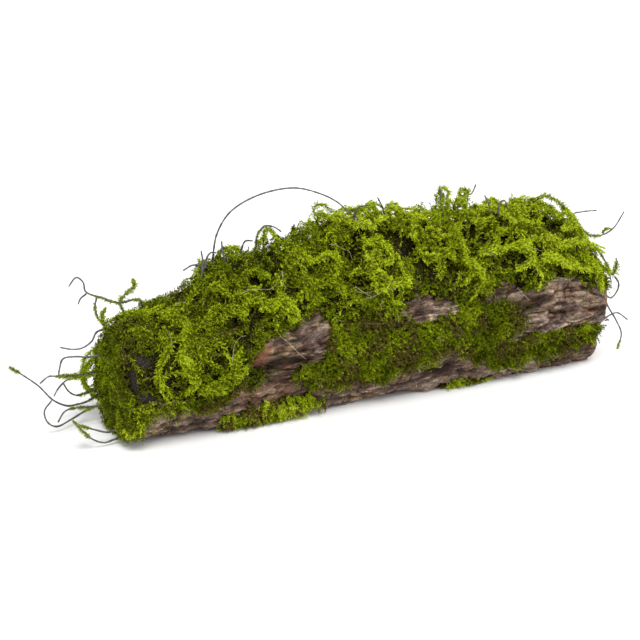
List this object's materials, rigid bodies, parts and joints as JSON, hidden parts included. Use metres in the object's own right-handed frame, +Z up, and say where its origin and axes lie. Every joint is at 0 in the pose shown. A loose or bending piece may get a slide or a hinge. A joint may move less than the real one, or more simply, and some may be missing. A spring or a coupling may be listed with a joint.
{
  "type": "mossy log",
  "caption": "Sawn length of log lying on its flat underside, heaped with feathery green moss mats and sprouting thin wiry stems.",
  "frame": {"origin": "under the middle of the whole piece, on the surface that it lies on", "axes": "+X along the log towards the bare sawn end, +Z up, front to -Y"},
  "size_m": [0.628, 0.178, 0.2039],
  "materials": {
    "bark": "dry furrowed grey-brown bark, sawn ends",
    "moss": "feathery yellow-green moss, matt",
    "stem": "thin dark grey wiry stems"
  },
  "bodies": {
    "root": {"log": "bark", "moss_heap_left": "moss", "moss_heap_middle": "moss", "moss_heap_right": "moss", "moss_back_skirt": "moss", "moss_front_band": "moss", "moss_fringe_left": "moss", "moss_fringe_middle": "moss", "moss_groove_right": "moss", "moss_cap_left_end": "moss", "moss_lip_right_end": "moss", "stem_arch": "stem", "stem_top_curl_left": "stem", "stem_top_hook_left": "stem", "stem_top_sprig_left": "stem", "stem_shoulder_curl": "stem", "stem_shoulder_sprig": "stem", "stem_shoulder_low": "stem", "stem_middle_sprig": "stem", "stem_middle_hook": "stem", "stem_ball_tail": "stem", "stem_tall_strand": "stem", "stem_right_spike": "stem", "stem_right_loop": "stem", "stem_crown_right": "stem", "stem_sweep_right": "stem", "stem_sweep_right_twig": "stem", "stem_drape_right": "stem", "stem_tuft_right": "stem", "stem_ring_right": "stem", "stem_fall_right": "stem", "stem_rim_hook_right": "stem", "stem_hook_left": "stem", "stem_hook_left_twig": "stem", "stem_hook_left_branch": "stem", "stem_strand_left": "stem", "stem_shoulder_left": "stem", "stem_left_step": "stem", "stem_left_crook": "stem", "stem_left_long": "stem", "stem_left_mossy": "stem", "stem_left_loop": "stem", "stem_left_low_fork": "stem", "stem_left_sprig": "stem", "stem_left_droop": "stem", "stem_floor_curl": "stem", "stem_floor_sprig": "stem"}
  },
  "joints": []
}
